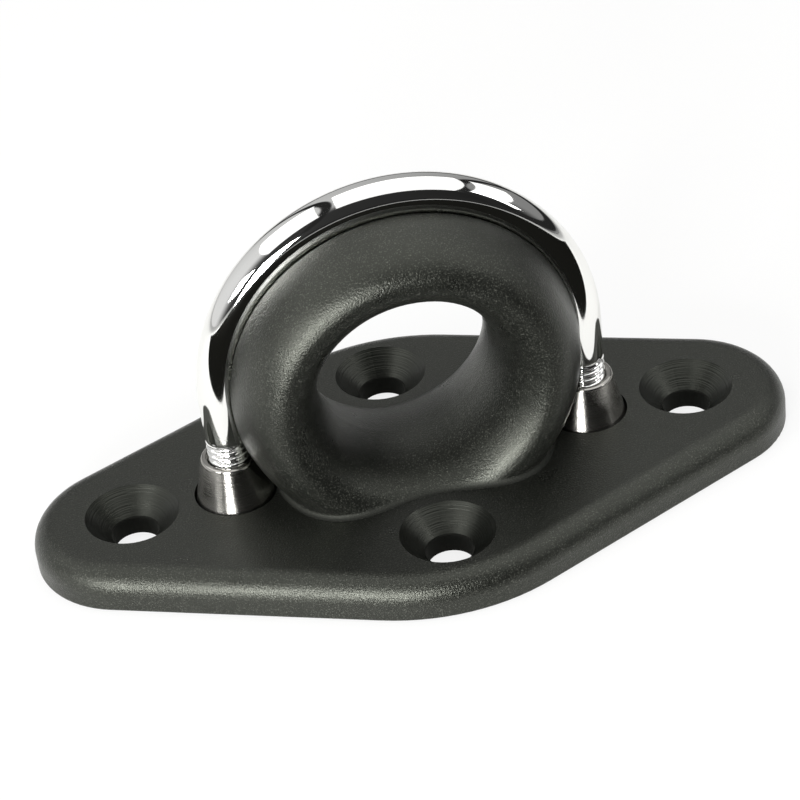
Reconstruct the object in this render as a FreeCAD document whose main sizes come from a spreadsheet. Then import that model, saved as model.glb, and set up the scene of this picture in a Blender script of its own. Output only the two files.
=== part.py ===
import FreeCAD, Part
import Sketcher
import math
import os

# Rope fairlead eye: a black nylon moulding with a diamond base and an upright
# eye, and a stainless steel bow held on its rim by two long sleeve nuts.
# Millimetres. The deck is z = 0, the rope runs along Y, the long side of the
# base lies along X, and the origin is the middle of the underside.

os.makedirs("parts", exist_ok=True)
doc = FreeCAD.newDocument("rope_fairlead_eye")
Vec = FreeCAD.Vector

# Driving sizes
sizes = doc.addObject("Spreadsheet::Sheet", "sizes")
driving = [
    ("base_thickness", 6.0, "deck face to top face"),
    ("hole_spacing_long", 80.0, "outer screw holes, centre to centre along X"),
    ("hole_spacing_wide", 39.0, "front and back screw holes along Y"),
    ("end_radius", 13.5, "rounded ends of the base"),
    ("end_margin", 14.0, "outer screw hole centre to the end of the base"),
    ("side_radius", 29.0, "rounded front and back of the base"),
    ("side_margin", 10.5, "front screw hole centre to the edge of the base"),
    ("top_edge_radius", 3.2, "heavy rounding of the top edge"),
    ("deck_edge_radius", 0.5, "small rounding at the deck"),
    ("screw_hole_diameter", 6.5, "6 mm countersunk screws"),
    ("countersink_diameter", 13.1, "rim of the 90 degree countersink"),
    ("eye_centre_height", 21.8, "deck to the centre of the eye"),
    ("throat_diameter", 24.6, "narrowest part of the eye"),
    ("eye_depth", 24.4, "front to back of the eye along Y"),
    ("foot_radius", 0.6, "corner between the eye and the base"),
    ("rod_diameter", 6.0, "stainless rod of the bow"),
    ("bow_radius", 25.3, "bend of the rod at its centre line"),
    ("seat_depth", 2.2, "how far the rod is let into the rim of the eye"),
    ("seat_clearance", 0.1, "rod to the wall of its seat"),
    ("lip_radius", 0.7, "rounded lips of the rod seat"),
    ("leg_end_clearance", 0.2, "driver slot to the ends of the legs"),
    ("leg_end_chamfer", 0.5, "bevel on the ends of the legs"),
    ("thread_clearance", 0.05, "leg to the bore of its nut"),
    ("nut_set_back", 0.3, "deck to the flange of the nut"),
    ("flange_diameter", 15.0, "flange that bears in the underside"),
    ("flange_thickness", 1.7, "flange of the nut"),
    ("flange_clearance", 0.3, "flange to the wall of its counterbore"),
    ("flange_chamfer", 0.3, "bevel round the flange"),
    ("shank_diameter", 11.0, "straight part of the nut in the base"),
    ("shank_length", 3.7, "straight part above the flange"),
    ("shank_clearance", 0.3, "shank to the wall of its hole"),
    ("nut_height_above_base", 6.2, "top of the nut over the top face"),
    ("nut_wall", 1.05, "wall of the nut at the top of its taper"),
    ("nut_edge_radius", 0.45, "rounded top edge of the nut"),
    ("mouth_chamfer", 0.35, "bevel where the leg comes out of the nut"),
    ("relief_clearance", 0.7, "nut to the roof of its pocket in the eye"),
    ("slot_width", 2.0, "driver slot across the flange"),
    ("slot_depth", 0.8, "driver slot across the flange"),
]
for row, (alias, value, note) in enumerate(driving, start=1):
    sizes.set(f"A{row}", note)
    sizes.set(f"B{row}", str(value))
    sizes.setAlias(f"B{row}", alias)
doc.recompute()


def origin_plane(body, role):
    for feature in body.Origin.OriginFeatures:
        if feature.Role == role:
            return feature


def add_sketch(body, name, role, lift=None):
    """A sketch on one of the body's own origin planes, lifted by a formula."""
    sketch = body.newObject("Sketcher::SketchObject", name)
    sketch.AttachmentSupport = (origin_plane(body, role), [""])
    sketch.MapMode = "FlatFace"
    if lift:
        sketch.setExpression("AttachmentOffset.Base.z", lift)
    doc.recompute()
    return sketch


def measure(kind, sketch, formula, *refs):
    """A dimension whose value follows a formula of the driving sizes."""
    value = float(sketch.evalExpression(formula))
    index = sketch.addConstraint(Sketcher.Constraint(kind, *refs, value))
    sketch.setExpression(f"Constraints[{index}]", formula)


def place(sketch, geometry, point, x_formula, y_formula):
    """Hold a point at x and y from the sketch origin."""
    for kind, formula in (("DistanceX", x_formula), ("DistanceY", y_formula)):
        value = float(sketch.evalExpression(formula))
        if abs(value) < 1e-9:
            axis = -2 if kind == "DistanceX" else -1
            sketch.addConstraint(Sketcher.Constraint("PointOnObject", geometry, point, axis))
        elif value > 0:
            measure(kind, sketch, formula, -1, 1, geometry, point)
        else:
            measure(kind, sketch, f"-({formula})", geometry, point, -1, 1)


def add_circle(sketch, x_formula, y_formula, radius_formula):
    x = float(sketch.evalExpression(x_formula))
    y = float(sketch.evalExpression(y_formula))
    radius = float(sketch.evalExpression(radius_formula))
    circle = sketch.addGeometry(Part.Circle(Vec(x, y, 0), Vec(0, 0, 1), radius))
    place(sketch, circle, 3, x_formula, y_formula)
    measure("Radius", sketch, radius_formula, circle)
    return circle


def add_outline(sketch, corners, bulges=None):
    """A closed outline through corners given by formulas. A bulge turns the side
    that starts at that corner into an arc of the given radius."""
    bulges = bulges or {}
    spots = []
    for x_formula, y_formula in corners:
        x = float(sketch.evalExpression(x_formula))
        y = float(sketch.evalExpression(y_formula))
        spots.append(Vec(x, y, 0))
    count = len(spots)
    sides = []
    for i in range(count):
        start = spots[i]
        end = spots[(i + 1) % count]
        if i in bulges:
            radius = float(sketch.evalExpression(bulges[i]))
            chord = end - start
            side = Vec(chord.y, -chord.x, 0).normalize()
            rise = radius - math.sqrt(radius ** 2 - (chord.Length / 2) ** 2)
            crest = (start + end) * 0.5 + side * rise
            sides.append(sketch.addGeometry(Part.Arc(start, crest, end)))
        else:
            sides.append(sketch.addGeometry(Part.LineSegment(start, end)))
    for i in range(count):
        before = sides[i - 1]
        sketch.addConstraint(Sketcher.Constraint("Coincident", before, 2, sides[i], 1))
        place(sketch, sides[i], 1, *corners[i])
        if i in bulges:
            measure("Radius", sketch, bulges[i], sides[i])
    return sides


def edges_where(feature, test):
    """Names of the feature's edges whose middle passes a test."""
    names = []
    for number, edge in enumerate(feature.Shape.Edges, start=1):
        middle = edge.valueAt((edge.FirstParameter + edge.LastParameter) / 2)
        if test(edge, middle):
            names.append(f"Edge{number}")
    return names


def cut_up(body, name, sketch, length_formula):
    """Cut from the sketch upwards."""
    cut = body.newObject("PartDesign::Pocket", name)
    cut.Profile = sketch
    cut.Reversed = True
    cut.setExpression("Length", length_formula)
    doc.recompute()
    return cut


# Sizes that follow from the driving ones
half_length = "(sizes.hole_spacing_long / 2 + sizes.end_margin)"
half_width = "(sizes.hole_spacing_wide / 2 + sizes.side_margin)"
rod_radius = "(sizes.rod_diameter / 2)"
seat_radius = f"({rod_radius} + sizes.seat_clearance)"
rim_radius = f"(sizes.bow_radius - {rod_radius} + sizes.seat_depth)"
throat_radius = "(sizes.throat_diameter / 2)"
sleeve_hole_radius = "(sizes.shank_diameter / 2 + sizes.shank_clearance)"
flange_top = "(sizes.nut_set_back + sizes.flange_thickness)"
nut_top = "(sizes.base_thickness + sizes.nut_height_above_base)"
leg_end = "(sizes.nut_set_back + sizes.slot_depth + sizes.leg_end_clearance)"
half_depth = "(sizes.eye_depth / 2)"

# Nylon moulding: the eye, a ring with an elliptical section
moulding = doc.addObject("PartDesign::Body", "moulded_body")
moulding.Label = "moulded_body"

section = add_sketch(moulding, "eye_section", "YZ_Plane")
axis_height = float(section.evalExpression("sizes.eye_centre_height"))
depth_value = float(section.evalExpression(half_depth))
rope_axis = section.addGeometry(Part.LineSegment(
    Vec(0, axis_height, 0), Vec(depth_value, axis_height, 0)), True)
place(section, rope_axis, 1, "0", "sizes.eye_centre_height")
section.addConstraint(Sketcher.Constraint("Horizontal", rope_axis))
measure("DistanceX", section, half_depth, rope_axis, 1, rope_axis, 2)
middle_height = f"(sizes.eye_centre_height - ({rim_radius} + {throat_radius}) / 2)"
half_ring = f"(({rim_radius} - {throat_radius}) / 2)"
centre_value = float(section.evalExpression(middle_height))
ring_value = float(section.evalExpression(half_ring))
ellipse = Part.Ellipse(
    Vec(depth_value, centre_value, 0),
    Vec(0, centre_value + ring_value, 0),
    Vec(0, centre_value, 0))
quarter = math.pi / 2
front_half = section.addGeometry(Part.ArcOfEllipse(ellipse, quarter, 3 * quarter))
section.exposeInternalGeometry(front_half)
back_half = section.addGeometry(Part.ArcOfEllipse(ellipse, -quarter, quarter))
section.exposeInternalGeometry(back_half)
place(section, front_half, 3, "0", middle_height)
measure("Distance", section, f"2 * {half_ring}", front_half + 2, 1, front_half + 2, 2)
section.addConstraint(Sketcher.Constraint("PointOnObject", front_half, 1, -2))
section.addConstraint(Sketcher.Constraint("PointOnObject", front_half, 2, -2))
section.addConstraint(Sketcher.Constraint("Coincident", front_half, 1, back_half, 2))
section.addConstraint(Sketcher.Constraint("Coincident", front_half, 2, back_half, 1))
section.addConstraint(Sketcher.Constraint("PointOnObject", back_half, 3, -2))
for major_axis in (front_half + 1, back_half + 1):
    section.addConstraint(Sketcher.Constraint("Horizontal", major_axis))
    measure("Distance", section, f"2 * {half_depth}", major_axis, 1, major_axis, 2)
doc.recompute()

eye = moulding.newObject("PartDesign::Revolution", "eye")
eye.Profile = section
eye.ReferenceAxis = (section, ["Axis0"])
eye.Angle = 360
doc.recompute()

# The ring is cut off half way down in the base that it stands in
foot_plan = add_sketch(moulding, "foot_plan", "XY_Plane", "sizes.base_thickness / 2")
add_circle(foot_plan, "0", "0", f"2 * {rim_radius}")
foot_cut = moulding.newObject("PartDesign::Pocket", "foot_cut")
foot_cut.Profile = foot_plan
foot_cut.setExpression("Length", f"2 * {rim_radius}")
doc.recompute()

# Base: two end arcs and two side arcs joined by tangent lines
plan = add_sketch(moulding, "base_plan", "XY_Plane")
end_value = float(plan.evalExpression("sizes.end_radius"))
side_value = float(plan.evalExpression("sizes.side_radius"))
end_x = float(plan.evalExpression(half_length)) - end_value
side_y = float(plan.evalExpression(half_width)) - side_value
lean = math.acos((side_value - end_value) / math.hypot(end_x, side_y)) - math.atan2(side_y, end_x)
outward = Vec(math.cos(lean), math.sin(lean), 0)


def tangent_point(centre, radius, x_sign, y_sign):
    return centre + Vec(x_sign * outward.x, y_sign * outward.y, 0) * radius


right = Vec(end_x, 0, 0)
left = Vec(-end_x, 0, 0)
back = Vec(0, side_y, 0)
front = Vec(0, -side_y, 0)
runs = [
    Part.Arc(tangent_point(right, end_value, 1, -1), Vec(end_x + end_value, 0, 0),
             tangent_point(right, end_value, 1, 1)),
    Part.LineSegment(tangent_point(right, end_value, 1, 1), tangent_point(back, side_value, 1, 1)),
    Part.Arc(tangent_point(back, side_value, 1, 1), Vec(0, side_y + side_value, 0),
             tangent_point(back, side_value, -1, 1)),
    Part.LineSegment(tangent_point(back, side_value, -1, 1), tangent_point(left, end_value, -1, 1)),
    Part.Arc(tangent_point(left, end_value, -1, 1), Vec(-end_x - end_value, 0, 0),
             tangent_point(left, end_value, -1, -1)),
    Part.LineSegment(tangent_point(left, end_value, -1, -1), tangent_point(front, side_value, -1, -1)),
    Part.Arc(tangent_point(front, side_value, -1, -1), Vec(0, -side_y - side_value, 0),
             tangent_point(front, side_value, 1, -1)),
    Part.LineSegment(tangent_point(front, side_value, 1, -1), tangent_point(right, end_value, 1, -1)),
]
edge = [plan.addGeometry(run) for run in runs]
for i in range(8):
    plan.addConstraint(Sketcher.Constraint("Tangent", edge[i], 2, edge[(i + 1) % 8], 1))
plan.addConstraint(Sketcher.Constraint("PointOnObject", edge[0], 3, -1))
plan.addConstraint(Sketcher.Constraint("Symmetric", edge[0], 3, edge[4], 3, -1, 1))
plan.addConstraint(Sketcher.Constraint("PointOnObject", edge[2], 3, -2))
plan.addConstraint(Sketcher.Constraint("Symmetric", edge[2], 3, edge[6], 3, -1, 1))
plan.addConstraint(Sketcher.Constraint("Equal", edge[0], edge[4]))
plan.addConstraint(Sketcher.Constraint("Equal", edge[2], edge[6]))
measure("Radius", plan, "sizes.end_radius", edge[0])
measure("Radius", plan, "sizes.side_radius", edge[2])
measure("DistanceX", plan, f"{half_length} - sizes.end_radius", -1, 1, edge[0], 3)
crown = plan.addGeometry(Part.Point(Vec(0, side_y + side_value, 0)), True)
plan.addConstraint(Sketcher.Constraint("PointOnObject", crown, 1, edge[2]))
plan.addConstraint(Sketcher.Constraint("PointOnObject", crown, 1, -2))
measure("DistanceY", plan, half_width, -1, 1, crown, 1)
doc.recompute()

base = moulding.newObject("PartDesign::Pad", "base")
base.Profile = plan
base.setExpression("Length", "sizes.base_thickness")
doc.recompute()

top_height = float(sizes.get("base_thickness"))
straight_side = outward.x * end_x + end_value
outline_reach = straight_side - float(sizes.get("top_edge_radius"))
foot_reach = float(plan.evalExpression(f"sizes.bow_radius - {sleeve_hole_radius}")) - 0.01


def on_outline(middle):
    """Whether a point lies at the edge of the base, not at the foot of the eye."""
    return math.hypot(middle.x, middle.y) > outline_reach - 0.01


def is_level(edge, middle, height):
    return abs(middle.z - height) < 1e-3 and edge.BoundBox.ZLength < 1e-3


def at_foot(edge, middle):
    return not on_outline(middle) and is_level(edge, middle, top_height) and abs(middle.x) < foot_reach


base_top_edge = moulding.newObject("PartDesign::Fillet", "base_top_edge")
base_top_edge.Base = (base, edges_where(
    base, lambda edge, middle: on_outline(middle) and is_level(edge, middle, top_height)))
base_top_edge.setExpression("Radius", "sizes.top_edge_radius")
doc.recompute()

base_deck_edge = moulding.newObject("PartDesign::Fillet", "base_deck_edge")
base_deck_edge.Base = (base_top_edge, edges_where(
    base_top_edge, lambda edge, middle: is_level(edge, middle, 0)))
base_deck_edge.setExpression("Radius", "sizes.deck_edge_radius")
doc.recompute()

# Seat for the rod: half a turn round the rim, then straight down for the legs
seat_section = add_sketch(moulding, "seat_section", "YZ_Plane")
add_circle(seat_section, "0", "sizes.eye_centre_height + sizes.bow_radius", seat_radius)
seat_axis = seat_section.addGeometry(Part.LineSegment(
    Vec(0, axis_height, 0), Vec(depth_value, axis_height, 0)), True)
place(seat_section, seat_axis, 1, "0", "sizes.eye_centre_height")
seat_section.addConstraint(Sketcher.Constraint("Horizontal", seat_axis))
measure("DistanceX", seat_section, half_depth, seat_axis, 1, seat_axis, 2)
doc.recompute()
rim_seat = moulding.newObject("PartDesign::Groove", "rim_seat")
rim_seat.Profile = seat_section
rim_seat.ReferenceAxis = (seat_section, ["Axis0"])
rim_seat.Midplane = True
rim_seat.Angle = 180
doc.recompute()

leg_plan = add_sketch(moulding, "leg_plan", "XY_Plane")
for sign in ("", "-"):
    add_circle(leg_plan, f"{sign}sizes.bow_radius", "0", seat_radius)
leg_seat = cut_up(moulding, "leg_seat", leg_plan, "sizes.eye_centre_height")

# Holes for the sleeve nuts, carried up as a pocket in the flank of the eye. The
# roof of the pocket clears the nut and also the place where the leg leaves the eye
seat_foot = (f"(sizes.eye_centre_height - sqrt({rim_radius} ^ 2"
             f" - (sizes.bow_radius - {seat_radius}) ^ 2))")
roof = f"(max({nut_top}; {seat_foot}) + sizes.relief_clearance)"
sleeve_plan = add_sketch(moulding, "sleeve_plan", "XY_Plane")
for sign in ("", "-"):
    add_circle(sleeve_plan, f"{sign}sizes.bow_radius", "0", sleeve_hole_radius)
sleeve_holes = cut_up(moulding, "sleeve_holes", sleeve_plan, roof)

flange_plan = add_sketch(moulding, "flange_plan", "XY_Plane")
for sign in ("", "-"):
    add_circle(flange_plan, f"{sign}sizes.bow_radius", "0",
               "sizes.flange_diameter / 2 + sizes.flange_clearance")
flange_recesses = cut_up(moulding, "flange_recesses", flange_plan, flange_top)

# Rounded lips along the seat above the nuts
pocket_roof = float(leg_plan.evalExpression(roof))
seat_value = float(leg_plan.evalExpression(seat_radius))
bow_value = float(sizes.get("bow_radius"))


def on_lip(edge, middle):
    off = math.hypot(middle.x, middle.z - axis_height) - bow_value
    if middle.z < axis_height:
        off = abs(middle.x) - bow_value
    on_seat = abs(math.hypot(off, middle.y) - seat_value) < 0.02
    return on_seat and abs(middle.y) > seat_value / 3 and middle.z > pocket_roof + 0.01


lips = moulding.newObject("PartDesign::Fillet", "lips")
lips.Base = (flange_recesses, edges_where(flange_recesses, on_lip))
lips.setExpression("Radius", "sizes.lip_radius")
doc.recompute()

# Rounded corner at the foot of the eye
foot_corner = moulding.newObject("PartDesign::Fillet", "foot_corner")
foot_corner.Base = (lips, edges_where(lips, at_foot))
foot_corner.setExpression("Radius", "sizes.foot_radius")
doc.recompute()

# Four countersunk screw holes at the corners of the diamond
screw_plan = add_sketch(moulding, "screw_plan", "XY_Plane", "sizes.base_thickness")
for x_formula, y_formula in (
        ("sizes.hole_spacing_long / 2", "0"),
        ("-sizes.hole_spacing_long / 2", "0"),
        ("0", "sizes.hole_spacing_wide / 2"),
        ("0", "-sizes.hole_spacing_wide / 2")):
    add_circle(screw_plan, x_formula, y_formula, "sizes.screw_hole_diameter / 2")
doc.recompute()
screw_holes = moulding.newObject("PartDesign::Hole", "screw_holes")
screw_holes.Profile = screw_plan
screw_holes.DepthType = "ThroughAll"
screw_holes.Threaded = False
screw_holes.setExpression("Diameter", "sizes.screw_hole_diameter")
screw_holes.HoleCutType = "Countersink"
screw_holes.HoleCutCustomValues = True
screw_holes.setExpression("HoleCutDiameter", "sizes.countersink_diameter")
screw_holes.HoleCutCountersinkAngle = 90
doc.recompute()

# Stainless bow: a round rod bent to a U
bow = doc.addObject("PartDesign::Body", "steel_bow")
bow.Label = "steel_bow"
bow_path = add_sketch(bow, "bow_path", "XZ_Plane")
end_height = float(bow_path.evalExpression(leg_end))
left_leg = bow_path.addGeometry(Part.LineSegment(
    Vec(-bow_value, end_height, 0), Vec(-bow_value, axis_height, 0)))
bend = bow_path.addGeometry(Part.Arc(
    Vec(-bow_value, axis_height, 0), Vec(0, axis_height + bow_value, 0),
    Vec(bow_value, axis_height, 0)))
right_leg = bow_path.addGeometry(Part.LineSegment(
    Vec(bow_value, axis_height, 0), Vec(bow_value, end_height, 0)))
bow_path.addConstraint(Sketcher.Constraint("Coincident", left_leg, 2, bend, 2))
bow_path.addConstraint(Sketcher.Constraint("Coincident", bend, 1, right_leg, 1))
place(bow_path, left_leg, 1, "-sizes.bow_radius", leg_end)
place(bow_path, left_leg, 2, "-sizes.bow_radius", "sizes.eye_centre_height")
place(bow_path, right_leg, 1, "sizes.bow_radius", "sizes.eye_centre_height")
place(bow_path, right_leg, 2, "sizes.bow_radius", leg_end)
measure("DistanceY", bow_path, "sizes.eye_centre_height", -1, 1, bend, 3)
doc.recompute()
rod_section = add_sketch(bow, "rod_section", "XY_Plane", leg_end)
add_circle(rod_section, "-sizes.bow_radius", "0", rod_radius)
doc.recompute()
rod = bow.newObject("PartDesign::AdditivePipe", "rod")
rod.Profile = rod_section
rod.Spine = (bow_path, ["Edge1", "Edge2", "Edge3"])
doc.recompute()
leg_ends = bow.newObject("PartDesign::Chamfer", "leg_ends")
leg_ends.Base = (rod, edges_where(
    rod, lambda edge, middle: is_level(edge, middle, end_height)))
leg_ends.setExpression("Size", "sizes.leg_end_chamfer")
doc.recompute()


def sleeve_nut(name, side_sign):
    """A turned sleeve nut: flange, shank and a long taper up to the leg."""
    nut = doc.addObject("PartDesign::Body", name)
    nut.Label = name
    profile = add_sketch(nut, name + "_profile", "XZ_Plane")
    bore = f"({rod_radius} + sizes.thread_clearance)"
    flange = "(sizes.flange_diameter / 2)"
    shank = "(sizes.shank_diameter / 2)"
    top_edge = f"({bore} + sizes.nut_wall)"
    corners = [
        (bore, "sizes.nut_set_back"),
        (f"{flange} - sizes.flange_chamfer", "sizes.nut_set_back"),
        (flange, "sizes.nut_set_back + sizes.flange_chamfer"),
        (flange, flange_top),
        (shank, flange_top),
        (shank, f"{flange_top} + sizes.shank_length"),
        (top_edge, f"{nut_top} - sizes.nut_edge_radius"),
        (f"{top_edge} - sizes.nut_edge_radius", nut_top),
        (f"{bore} + sizes.mouth_chamfer", nut_top),
        (bore, f"{nut_top} - sizes.mouth_chamfer"),
    ]
    add_outline(profile, corners, {6: "sizes.nut_edge_radius"})
    doc.recompute()
    turned = nut.newObject("PartDesign::Revolution", name + "_turned")
    turned.Profile = profile
    turned.ReferenceAxis = (profile, ["V_Axis"])
    turned.Angle = 360
    doc.recompute()
    slot_plan = add_sketch(nut, name + "_slot_plan", "XY_Plane", "sizes.nut_set_back")
    reach = f"{flange} + 1"
    half_slot = "sizes.slot_width / 2"
    add_outline(slot_plan, [
        (f"-({reach})", f"-({half_slot})"),
        (reach, f"-({half_slot})"),
        (reach, half_slot),
        (f"-({reach})", half_slot),
    ])
    doc.recompute()
    cut_up(nut, name + "_slot", slot_plan, "sizes.slot_depth")
    nut.setExpression("Placement.Base.x", f"{side_sign}sizes.bow_radius")
    doc.recompute()
    return nut


left_nut = sleeve_nut("left_sleeve_nut", "-")
right_nut = sleeve_nut("right_sleeve_nut", "")

# Every feature is sound and every piece is one closed solid before it is written
doc.recompute()
for item in doc.Objects:
    if "Invalid" in item.State or "Error" in item.State:
        raise RuntimeError(f"{item.Name} failed: {item.State}")
for body in (moulding, bow, left_nut, right_nut):
    shape = body.Shape
    if shape.isNull() or not shape.isValid() or len(shape.Solids) != 1:
        raise RuntimeError(f"{body.Label} is not one valid solid")
    shape.exportStep(f"parts/{body.Label}.step")
    box = shape.optimalBoundingBox()
    print(body.Label, "volume", round(shape.Volume, 1), "box",
          [round(v, 2) for v in (box.XMin, box.XMax, box.YMin, box.YMax, box.ZMin, box.ZMax)])
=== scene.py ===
import math
import bpy
import numpy as np
from mathutils import Matrix, Vector


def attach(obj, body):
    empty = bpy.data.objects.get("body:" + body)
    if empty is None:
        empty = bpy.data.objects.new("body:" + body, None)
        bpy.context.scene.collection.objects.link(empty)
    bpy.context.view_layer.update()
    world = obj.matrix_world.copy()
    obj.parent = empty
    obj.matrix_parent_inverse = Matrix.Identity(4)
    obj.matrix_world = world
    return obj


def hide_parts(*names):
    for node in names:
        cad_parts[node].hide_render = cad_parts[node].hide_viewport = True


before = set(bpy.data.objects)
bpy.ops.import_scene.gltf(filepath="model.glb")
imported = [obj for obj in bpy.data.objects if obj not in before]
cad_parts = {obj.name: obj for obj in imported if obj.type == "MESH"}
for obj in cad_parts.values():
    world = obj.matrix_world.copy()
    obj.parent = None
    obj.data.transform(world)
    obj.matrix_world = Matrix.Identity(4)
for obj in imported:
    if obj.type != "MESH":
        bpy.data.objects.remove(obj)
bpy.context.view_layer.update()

scene = bpy.context.scene
mm = 0.001
white = (1, 1, 1, 1)


def linearColour(hexText):
    # sRGB hex to the linear numbers that the shaders take
    parts = [int(hexText[i:i + 2], 16) / 255 for i in (1, 3, 5)]
    return [p / 12.92 if p <= 0.04045 else ((p + 0.055) / 1.055) ** 2.4 for p in parts] + [1.0]


def addNode(tree, kind, inputs=None, **settings):
    # one node; an input is a number, a colour, a socket, or a node for its first output
    node = tree.nodes.new(kind)
    for name, value in settings.items():
        setattr(node, name, value)
    for name, value in (inputs or {}).items():
        if isinstance(value, bpy.types.Node):
            value = value.outputs[0]
        if isinstance(value, bpy.types.NodeSocket):
            tree.links.new(value, node.inputs[name])
        else:
            node.inputs[name].default_value = value
    return node


def newMaterial(name):
    material = bpy.data.materials.new(name)
    material.use_nodes = True
    material.node_tree.nodes.clear()
    return material, material.node_tree


def directionTo(azimuth, elevation):
    # degrees to a unit vector; azimuth 0 is the front, towards -Y, and 90 is the right
    turn, rise = math.radians(azimuth), math.radians(elevation)
    return Vector((math.sin(turn) * math.cos(rise), -math.cos(turn) * math.cos(rise), math.sin(rise)))


photoView = {"azimuth": -9.58, "elevation": 35.8, "roll": -7.2, "distance": 384.4 * mm,
             "slideAcross": -2.365 * mm, "slideUp": 11.61 * mm, "lens": 122.82, "sensorWidth": 36,
             "clipNear": 0.01, "clipFar": 20}


def placeCamera(view):
    # a point on a sphere round the middle of the deck face, then a slide in the picture plane
    back = directionTo(view["azimuth"], view["elevation"])
    roll = math.radians(view["roll"])
    level = (-back).cross(Vector((0, 0, 1))).normalized()
    upright = level.cross(-back)
    across = math.cos(roll) * level + math.sin(roll) * upright
    up = math.cos(roll) * upright - math.sin(roll) * level
    data = bpy.data.cameras.new("photoCamera")
    data.sensor_width = view["sensorWidth"]
    data.lens = view["lens"]
    data.clip_start = view["clipNear"]
    data.clip_end = view["clipFar"]
    camera = bpy.data.objects.new("photoCamera", data)
    scene.collection.objects.link(camera)
    place = across * view["slideAcross"] + up * view["slideUp"] + back * view["distance"]
    camera.matrix_world = Matrix.Translation(place) @ Matrix((across, up, back)).transposed().to_4x4()
    scene.camera = camera


placeCamera(photoView)
scene.view_settings.view_transform = "Standard"
print("camera placed")


def makeSheet(name, edges, height):
    # one flat rectangle, from its left, front, right and back edges
    left, front, right, back = edges
    mesh = bpy.data.meshes.new(name)
    mesh.from_pydata([(left, front, 0), (right, front, 0), (right, back, 0), (left, back, 0)],
                     [], [(0, 1, 2, 3)])
    sheet = bpy.data.objects.new(name, mesh)
    sheet.location.z = height
    scene.collection.objects.link(sheet)
    return sheet


# drop is its depth under the deck face; glow is how much of it is plain white to the
# camera, and glowInSteel how much in reflections
floorSheet = {"reach": 4.0, "drop": 0.02 * mm, "colour": "#f4f4f2", "glow": 0.80, "glowInSteel": 0.20}


def makeFloor(settings):
    # a wide square just under the deck face, pale, with part of its white as plain glow
    # so that it stays white in the picture and still takes the shadow
    reach = settings["reach"]
    floor = makeSheet("floor", (-reach, -reach, reach, reach), -settings["drop"])
    material, tree = newMaterial("matt white paper")
    paper = addNode(tree, "ShaderNodeBsdfDiffuse", {"Color": linearColour(settings["colour"])})
    glow = addNode(tree, "ShaderNodeEmission", {"Color": white, "Strength": 1.0})
    ray = addNode(tree, "ShaderNodeLightPath").outputs
    direct = addNode(tree, "ShaderNodeMath", {0: ray["Is Camera Ray"], 1: settings["glow"]},
                     operation="MULTIPLY")
    mirrored = addNode(tree, "ShaderNodeMath", {0: ray["Is Glossy Ray"], 1: settings["glowInSteel"]},
                       operation="MULTIPLY")
    share = addNode(tree, "ShaderNodeMath", {0: direct, 1: mirrored}, operation="MAXIMUM")
    mix = addNode(tree, "ShaderNodeMixShader", {0: share, 1: paper, 2: glow})
    addNode(tree, "ShaderNodeOutputMaterial", {"Surface": mix})
    floor.data.materials.append(material)


darkCard = {"edges": (-0.45, -0.9, 0.5, -0.036), "colour": "#141412"}


def makeDarkCard(settings):
    # a black card laid on the floor in front of the part, seen only in reflections: it
    # gives the inner side of the bow its dark band
    card = makeSheet("darkCard", settings["edges"], 0)
    card.visible_camera = card.visible_diffuse = card.visible_shadow = False
    material, tree = newMaterial("black card")
    black = addNode(tree, "ShaderNodeBsdfDiffuse", {"Color": linearColour(settings["colour"])})
    addNode(tree, "ShaderNodeOutputMaterial", {"Surface": black})
    card.data.materials.append(material)


# levels of light, and in pairs the parts of a direction's X, Y or Z where they change
room = {"front": 0.03, "back": 0.54, "frontToBack": (-0.65, -0.10),
        "left": 1.45, "right": 0.45, "leftToRight": (-0.9, 0.8),
        "gap": 0.02, "gapShoulder": 0.02, "ceilingGaps": ((0.63, 0.70), (-0.33, -0.26)),
        "horizonGap": (0.03, 0.13), "horizonGapFadesIn": (-0.45, -0.15)}


def softBand(tree, value, edges, shoulder):
    # 1 between the two edges, and down to 0 over a shoulder outside each
    low, high = edges
    rise = addNode(tree, "ShaderNodeMapRange", {"Value": value, "From Min": low - shoulder, "From Max": low},
                   interpolation_type="SMOOTHSTEP")
    fall = addNode(tree, "ShaderNodeMapRange", {"Value": value, "From Min": high, "From Max": high + shoulder,
                                                "To Min": 1.0, "To Max": 0.0},
                   interpolation_type="SMOOTHSTEP")
    return addNode(tree, "ShaderNodeMath", {0: rise, 1: fall}, operation="MULTIPLY")


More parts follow.
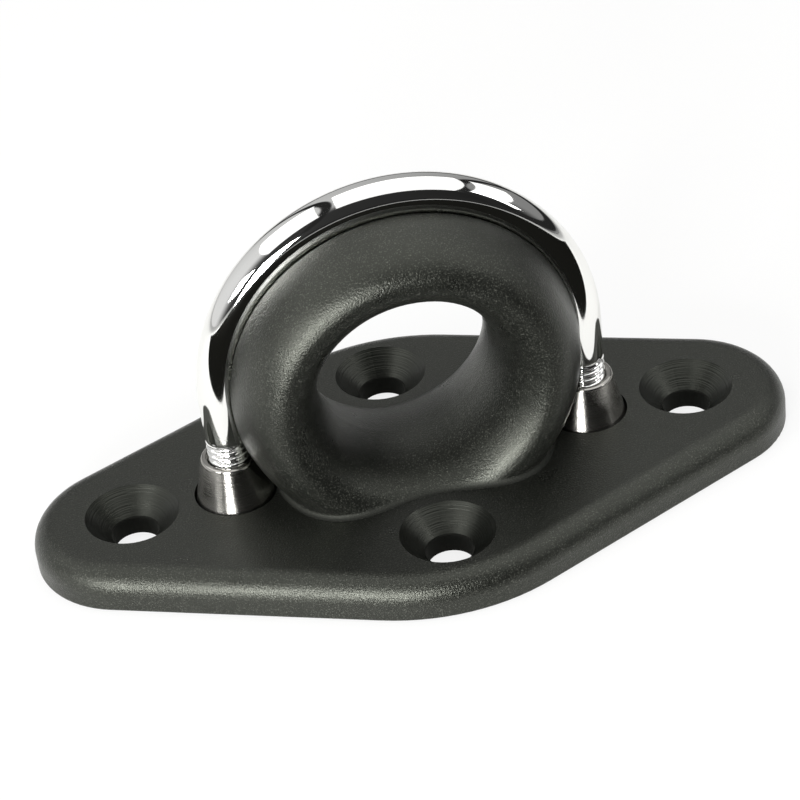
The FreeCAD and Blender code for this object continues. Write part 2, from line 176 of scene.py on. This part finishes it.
def makeRoom(settings):
    # a soft room: bright at the back and left, dark towards the front, with two dark gaps
    # across the ceiling and one low along the back, which steel shows as dark notches and
    # a thin dark line; the camera itself sees plain white
    world = bpy.data.worlds.new("studio")
    world.use_nodes = True
    scene.world = world
    tree = world.node_tree
    tree.nodes.clear()
    direction = addNode(tree, "ShaderNodeTexCoord").outputs["Generated"]
    part = addNode(tree, "ShaderNodeSeparateXYZ", {0: direction}).outputs
    start, end = settings["frontToBack"]
    depth = addNode(tree, "ShaderNodeMapRange", {"Value": part["Y"], "From Min": start, "From Max": end,
                                                 "To Min": settings["front"], "To Max": settings["back"]},
                    interpolation_type="SMOOTHSTEP")
    start, end = settings["leftToRight"]
    side = addNode(tree, "ShaderNodeMapRange", {"Value": part["X"], "From Min": start, "From Max": end,
                                                "To Min": settings["left"], "To Max": settings["right"]})
    bright = addNode(tree, "ShaderNodeMath", {0: depth, 1: side}, operation="MULTIPLY")
    start, end = settings["horizonGapFadesIn"]
    notLeft = addNode(tree, "ShaderNodeMapRange", {"Value": part["X"], "From Min": start, "From Max": end})
    low = softBand(tree, part["Z"], settings["horizonGap"], settings["gapShoulder"])
    gap = addNode(tree, "ShaderNodeMath", {0: low, 1: notLeft}, operation="MULTIPLY")
    for edges in settings["ceilingGaps"]:
        high = softBand(tree, part["X"], edges, settings["gapShoulder"])
        gap = addNode(tree, "ShaderNodeMath", {0: gap, 1: high}, operation="MAXIMUM")
    level = addNode(tree, "ShaderNodeMix", {"Factor": gap, "A": bright, "B": settings["gap"]},
                    data_type="FLOAT")
    seen = addNode(tree, "ShaderNodeLightPath").outputs["Is Camera Ray"]
    strength = addNode(tree, "ShaderNodeMath", {0: level, 1: seen}, operation="MAXIMUM")
    sky = addNode(tree, "ShaderNodeBackground", {"Color": white, "Strength": strength})
    addNode(tree, "ShaderNodeOutputWorld", {"Surface": sky})


# each lamp's azimuth and elevation in degrees, distance, width and height in metres, and watts
lamps = {"softKeyLeft": (-60, 17, 0.60, 0.18, 0.12, 1.1),
         "stripFront": (-29, 9, 0.60, 0.20, 0.22, 5.2),
         "ceilingPanelRight": (90, 75, 0.72, 1.10, 0.78, 3.15),
         "ceilingPanelLeft": (-90, 53, 0.80, 1.10, 0.42, 1.65),
         "wallPanelRight": (90, 33, 0.80, 0.80, 0.24, 0.70),
         "softRight": (62, 26, 0.70, 0.08, 0.26, 0.28)}
lampAim = Vector((0, 0, 20 * mm))  # just under the middle of the eye


def makeLamp(name, azimuth, elevation, distance, width, height, watts):
    # a soft flat lamp that faces the part
    data = bpy.data.lights.new(name, "AREA")
    data.shape = "RECTANGLE"
    data.size, data.size_y = width, height
    data.energy = watts
    lamp = bpy.data.objects.new(name, data)
    back = directionTo(azimuth, elevation)
    lamp.location = lampAim + back * distance
    lamp.rotation_mode = "QUATERNION"
    lamp.rotation_quaternion = back.to_track_quat("Z", "Y")
    scene.collection.objects.link(lamp)


makeFloor(floorSheet)
makeRoom(room)
makeDarkCard(darkCard)
for lampName, lampValues in lamps.items():
    makeLamp(lampName, *lampValues)
print("stage and lamps placed")


noiseLow, noiseHigh = 0.3, 0.7  # nearly all of a noise's values lie between these

# the grain, specks and tool rings of a real part are finer, and are drawn here as coarse
# as they need to show; holesAlong and holesAcross are the screw holes' distances from the middle
nylon = {"dark": "#0e0f0d", "light": "#43443f", "olive": "#fbfff0", "ior": 1.53,
         "grainMm": 0.26, "grainBumpMm": 0.08, "speckMm": 0.20, "speckFrom": 0.55, "speckFull": 0.78,
         "mottleMm": 5.0, "roughLow": 0.27, "roughHigh": 0.36,
         "ringMm": 0.17, "ringBumpMm": 0.032, "sinkRadius": 6.55 * mm, "boreRadius": 3.4 * mm,
         "holesAlong": 40.0 * mm, "holesAcross": 19.5 * mm,
         # the last four set the painted shade in the crease round the foot of the eye and in the screw bores:
         # its height span, near-black colour and roughness
         "creaseBottom": 6.02 * mm, "creaseTop": 6.9 * mm, "paintedShadeColour": "#060606", "paintedShadeRough": 0.95}


def mouldedNylon(settings):
    # black glass-filled nylon, injection moulded: satin, a little olive, with a fine
    #  grainy skin that breaks up its highlights into speckles, and the fine rings of a
    #  turned tool in the four countersinks; the crease round the foot of the eye and the screw holes' bores
    #  get painted shade
    material, tree = newMaterial("moulded black nylon")
    place = addNode(tree, "ShaderNodeTexCoord").outputs["Object"]
    grain = addNode(tree, "ShaderNodeTexNoise", {"Vector": place, "Scale": 1 / (settings["grainMm"] * mm),
                                                 "Detail": 3.0, "Roughness": 0.6})
    specks = addNode(tree, "ShaderNodeTexNoise", {"Vector": place, "Scale": 1 / (settings["speckMm"] * mm),
                                                  "Detail": 1.0, "Roughness": 0.5})
    mottle = addNode(tree, "ShaderNodeTexNoise", {"Vector": place, "Scale": 1 / (settings["mottleMm"] * mm),
                                                  "Detail": 2.0, "Roughness": 0.5})
    # distance from the nearest screw hole's axis, worked out in one quarter of the base
    folded = addNode(tree, "ShaderNodeVectorMath", {0: place}, operation="ABSOLUTE")
    flat = addNode(tree, "ShaderNodeVectorMath", {0: folded, 1: (1, 1, 0)}, operation="MULTIPLY")
    toEnd = addNode(tree, "ShaderNodeVectorMath", {0: flat, 1: (settings["holesAlong"], 0, 0)},
                    operation="DISTANCE").outputs["Value"]
    toSide = addNode(tree, "ShaderNodeVectorMath", {0: flat, 1: (0, settings["holesAcross"], 0)},
                     operation="DISTANCE").outputs["Value"]
    reach = addNode(tree, "ShaderNodeMath", {0: toEnd, 1: toSide}, operation="MINIMUM")
    inSink = addNode(tree, "ShaderNodeMath", {0: reach, 1: settings["sinkRadius"]}, operation="LESS_THAN")
    outside = addNode(tree, "ShaderNodeMath", {0: 1.0, 1: inSink}, operation="SUBTRACT")
    # painted shade: the crease round the foot of the eye and the walls of the screw holes are painted
    # near-black and made very rough, standing in for the shade that falls there
    height = addNode(tree, "ShaderNodeSeparateXYZ", {0: place}).outputs["Z"]
    bottom, top = settings["creaseBottom"], settings["creaseTop"]
    aboveBase = addNode(tree, "ShaderNodeMath", {0: height, 1: bottom}, operation="GREATER_THAN")
    upCrease = addNode(tree, "ShaderNodeMapRange", {"Value": height, "From Min": bottom, "From Max": top,
                                                    "To Min": 1.0, "To Max": 0.0})
    crease = addNode(tree, "ShaderNodeMath", {0: aboveBase, 1: upCrease}, operation="MULTIPLY")
    inBore = addNode(tree, "ShaderNodeMath", {0: reach, 1: settings["boreRadius"]}, operation="LESS_THAN")
    paintedShade = addNode(tree, "ShaderNodeMath", {0: crease, 1: inBore}, operation="MAXIMUM")
    # pale specks of glass in the skin, none in the countersinks
    speck = addNode(tree, "ShaderNodeMapRange", {"Value": specks, "From Min": settings["speckFrom"],
                                                 "From Max": settings["speckFull"]})
    speck = addNode(tree, "ShaderNodeMath", {0: speck, 1: outside}, operation="MULTIPLY")
    colour = addNode(tree, "ShaderNodeMix", {"Factor": speck, "A": linearColour(settings["dark"]),
                                             "B": linearColour(settings["light"])},
                     data_type="RGBA").outputs["Result"]
    # painted shade: near-black colour in the crease and the screw bores
    colour = addNode(tree, "ShaderNodeMix", {"Factor": paintedShade, "A": colour,
                                             "B": linearColour(settings["paintedShadeColour"])},
                     data_type="RGBA").outputs["Result"]
    rough = addNode(tree, "ShaderNodeMapRange", {"Value": mottle, "From Min": noiseLow, "From Max": noiseHigh,
                                                 "To Min": settings["roughLow"],
                                                 "To Max": settings["roughHigh"]})
    rough = addNode(tree, "ShaderNodeMix", {"Factor": paintedShade, "A": rough, "B": settings["paintedShadeRough"]},
                    data_type="FLOAT")
    # relief: tool rings in the countersinks and grain on the rest
    steps = addNode(tree, "ShaderNodeMath", {0: reach, 1: 1 / (settings["ringMm"] * mm)},
                    operation="MULTIPLY")
    rings = addNode(tree, "ShaderNodeTexNoise", {"W": steps, "Scale": 1.0, "Detail": 1.0},
                    noise_dimensions="1D")
    ringHeight = addNode(tree, "ShaderNodeMath", {0: rings, 1: inSink}, operation="MULTIPLY")
    bump = addNode(tree, "ShaderNodeBump", {"Height": grain, "Strength": outside,
                                            "Distance": settings["grainBumpMm"] * mm})
    bump = addNode(tree, "ShaderNodeBump", {"Height": ringHeight, "Strength": 1.0, "Normal": bump,
                                            "Distance": settings["ringBumpMm"] * mm})
    shader = addNode(tree, "ShaderNodeBsdfPrincipled", {"Base Color": colour, "Roughness": rough,
                                                        "IOR": settings["ior"], "Normal": bump,
                                                        "Specular Tint": linearColour(settings["olive"])})
    addNode(tree, "ShaderNodeOutputMaterial", {"Surface": shader})
    return material


polish = {"colour": "#f0f0ee", "roughLow": 0.028, "roughHigh": 0.060, "hazeMm": 6.0,
          "threadRough": 0.12, "threadBlend": 0.3 * mm}


def polishedStainless(settings, threadTop):
    # stainless rod, bent and buffed to a mirror: sharp reflections with a faint haze,
    # and the duller cut thread at the foot of each leg
    material, tree = newMaterial("polished stainless steel")
    place = addNode(tree, "ShaderNodeTexCoord").outputs["Object"]
    haze = addNode(tree, "ShaderNodeTexNoise", {"Vector": place, "Scale": 1 / (settings["hazeMm"] * mm),
                                                "Detail": 3.0})
    rough = addNode(tree, "ShaderNodeMapRange", {"Value": haze, "From Min": noiseLow, "From Max": noiseHigh,
                                                 "To Min": settings["roughLow"],
                                                 "To Max": settings["roughHigh"]})
    height = addNode(tree, "ShaderNodeSeparateXYZ", {0: place}).outputs["Z"]
    threaded = addNode(tree, "ShaderNodeMapRange", {"Value": height, "From Max": threadTop,
                                                    "From Min": threadTop - settings["threadBlend"],
                                                    "To Min": 1.0, "To Max": 0.0})
    rough = addNode(tree, "ShaderNodeMix", {"Factor": threaded, "A": rough, "B": settings["threadRough"]},
                    data_type="FLOAT")
    shader = addNode(tree, "ShaderNodeBsdfPrincipled", {"Base Color": linearColour(settings["colour"]),
                                                        "Metallic": 1.0, "Roughness": rough})
    addNode(tree, "ShaderNodeOutputMaterial", {"Surface": shader})
    return material


# acrossRings turns the stretch of a reflection by a quarter, from along the tool's rings
lathe = {"colour": "#a9a7a2", "roughLow": 0.16, "roughHigh": 0.26, "stretch": 0.90, "acrossRings": 0.25,
         "toolPitchMm": 0.24, "toolBumpMm": 0.004}


def turnedStainless(settings):
    # stainless bar turned on a lathe: the tool's fine rings stretch each reflection into
    # an upright streak; the rings are drawn coarser than real ones so that they show
    material, tree = newMaterial("turned stainless steel")
    place = addNode(tree, "ShaderNodeTexCoord").outputs["Object"]
    height = addNode(tree, "ShaderNodeSeparateXYZ", {0: place}).outputs["Z"]
    steps = addNode(tree, "ShaderNodeMath", {0: height, 1: 1 / (settings["toolPitchMm"] * mm)},
                    operation="MULTIPLY")
    cut = addNode(tree, "ShaderNodeTexNoise", {"W": steps, "Scale": 1.0, "Detail": 2.0},
                  noise_dimensions="1D")
    rough = addNode(tree, "ShaderNodeMapRange", {"Value": cut, "From Min": noiseLow, "From Max": noiseHigh,
                                                 "To Min": settings["roughLow"],
                                                 "To Max": settings["roughHigh"]})
    bump = addNode(tree, "ShaderNodeBump", {"Height": cut, "Strength": 1.0,
                                            "Distance": settings["toolBumpMm"] * mm})
    around = addNode(tree, "ShaderNodeTangent", direction_type="RADIAL", axis="Z")
    shader = addNode(tree, "ShaderNodeBsdfPrincipled", {"Base Color": linearColour(settings["colour"]),
                                                        "Metallic": 1.0, "Roughness": rough,
                                                        "Anisotropic": settings["stretch"],
                                                        "Anisotropic Rotation": settings["acrossRings"],
                                                        "Normal": bump, "Tangent": around})
    addNode(tree, "ShaderNodeOutputMaterial", {"Surface": shader})
    return material


# crestShare and rootShare are the thread's flats as shares of its pitch
bow = {"rodRadius": 3.0 * mm, "bendRadius": 25.3 * mm, "centreHeight": 21.8 * mm,
       "legEnd": 1.3 * mm, "bevelHeight": 0.5 * mm, "bevelDepth": 0.6 * mm,
       "threadTop": 15.6 * mm, "threadPitch": 1.0 * mm, "threadDepth": 0.55 * mm,
       "crestShare": 0.125, "rootShare": 0.25,
       "around": 112, "alongBend": 380, "alongPlainLeg": 16, "rowsPerTurn": 10}


def threadGroove(height, turn, hand, size):
    # how far a 60 degree thread is cut in, 0 on its crest and 1 along its root: a ramp
    # between a flat crest and a flat root, which climbs one pitch a turn and fades out
    # over the last pitch below the plain rod
    phase = (height / size["threadPitch"] - hand * turn / (2 * math.pi)) % 1.0
    fromRoot = np.abs(phase - 0.5) * 2
    crestEdge = 1 - size["crestShare"]
    fade = np.clip((size["threadTop"] - height) / size["threadPitch"], 0, 1)
    return np.clip((crestEdge - fromRoot) / (crestEdge - size["rootShare"]), 0, 1) * fade


def rodMesh(name, points, startPole, endPole):
    # points is rows x columns x 3: columns run round the rod and close on themselves,
    # rows run along it, and a fan of triangles to a pole closes each end
    rows, columns = points.shape[:2]
    index = np.arange(rows * columns).reshape(rows, columns)
    nextColumn = np.roll(index, -1, axis=1)
    quads = np.stack([index[:-1], index[1:], nextColumn[1:], nextColumn[:-1]], axis=-1).reshape(-1, 4)
    pole = np.full(columns, rows * columns)
    startFan = np.stack([index[0], nextColumn[0], pole], axis=-1)
    endFan = np.stack([nextColumn[-1], index[-1], pole + 1], axis=-1)
    verts = np.vstack([points.reshape(-1, 3), startPole, endPole])
    mesh = bpy.data.meshes.new(name)
    mesh.from_pydata(verts.tolist(), [], quads.tolist() + startFan.tolist() + endFan.tolist())
    mesh.update()
    mesh.shade_smooth()
    piece = bpy.data.objects.new(name, mesh)
    scene.collection.objects.link(piece)
    return piece


def makeBow(size):
    # a circle carried up one leg, over half a turn and down the other leg; the circle
    # lies in the plane of the path's own outward direction and the rope direction Y,
    # and on the legs its radius shrinks by the thread's groove
    bevelTop = size["legEnd"] + size["bevelHeight"]
    step = size["threadPitch"] / size["rowsPerTurn"]
    legHeights = np.concatenate([[size["legEnd"], bevelTop],
                                 np.arange(bevelTop + step, size["threadTop"], step),
                                 np.linspace(size["threadTop"], size["centreHeight"], size["alongPlainLeg"])])
    angles = np.linspace(math.pi, 0, size["alongBend"])[1:-1]
    straight = np.zeros(len(legHeights))
    outwardX = np.concatenate([straight - 1, np.cos(angles), straight + 1])
    outwardZ = np.concatenate([straight, np.sin(angles), straight])
    lift = np.concatenate([legHeights, np.full(len(angles), size["centreHeight"]), legHeights[::-1]])
    outward = np.stack([outwardX, np.zeros_like(lift), outwardZ], axis=-1)
    centres = outward * size["bendRadius"]
    centres[:, 2] += lift
    turn = np.linspace(0, 2 * math.pi, size["around"], endpoint=False)
    groove = threadGroove(lift[:, None], turn[None, :], outwardX[:, None], size)
    radii = size["rodRadius"] - size["threadDepth"] * groove
    radii[[0, -1]] = size["rodRadius"] - size["bevelDepth"]
    alongRope = np.array([0, 1.0, 0])
    points = (centres[:, None] + radii[:, :, None] * (np.cos(turn)[None, :, None] * outward[:, None]
              + np.sin(turn)[None, :, None] * alongRope))
    return rodMesh("bowRod", points, centres[:1], centres[-1:])


bowRod = makeBow(bow)
bowRod.data.materials.append(polishedStainless(polish, bow["threadTop"]))
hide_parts("steel_bow")
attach(bowRod, "root")
print("bow made")


# the body and the two nuts keep their own meshes
blackNylon = mouldedNylon(nylon)
latheSteel = turnedStainless(lathe)
for nodeName, finish in (("moulded_body", blackNylon), ("left_sleeve_nut", latheSteel),
                         ("right_sleeve_nut", latheSteel)):
    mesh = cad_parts[nodeName].data
    mesh.materials.clear()
    mesh.materials.append(finish)
print("body and nuts finished")
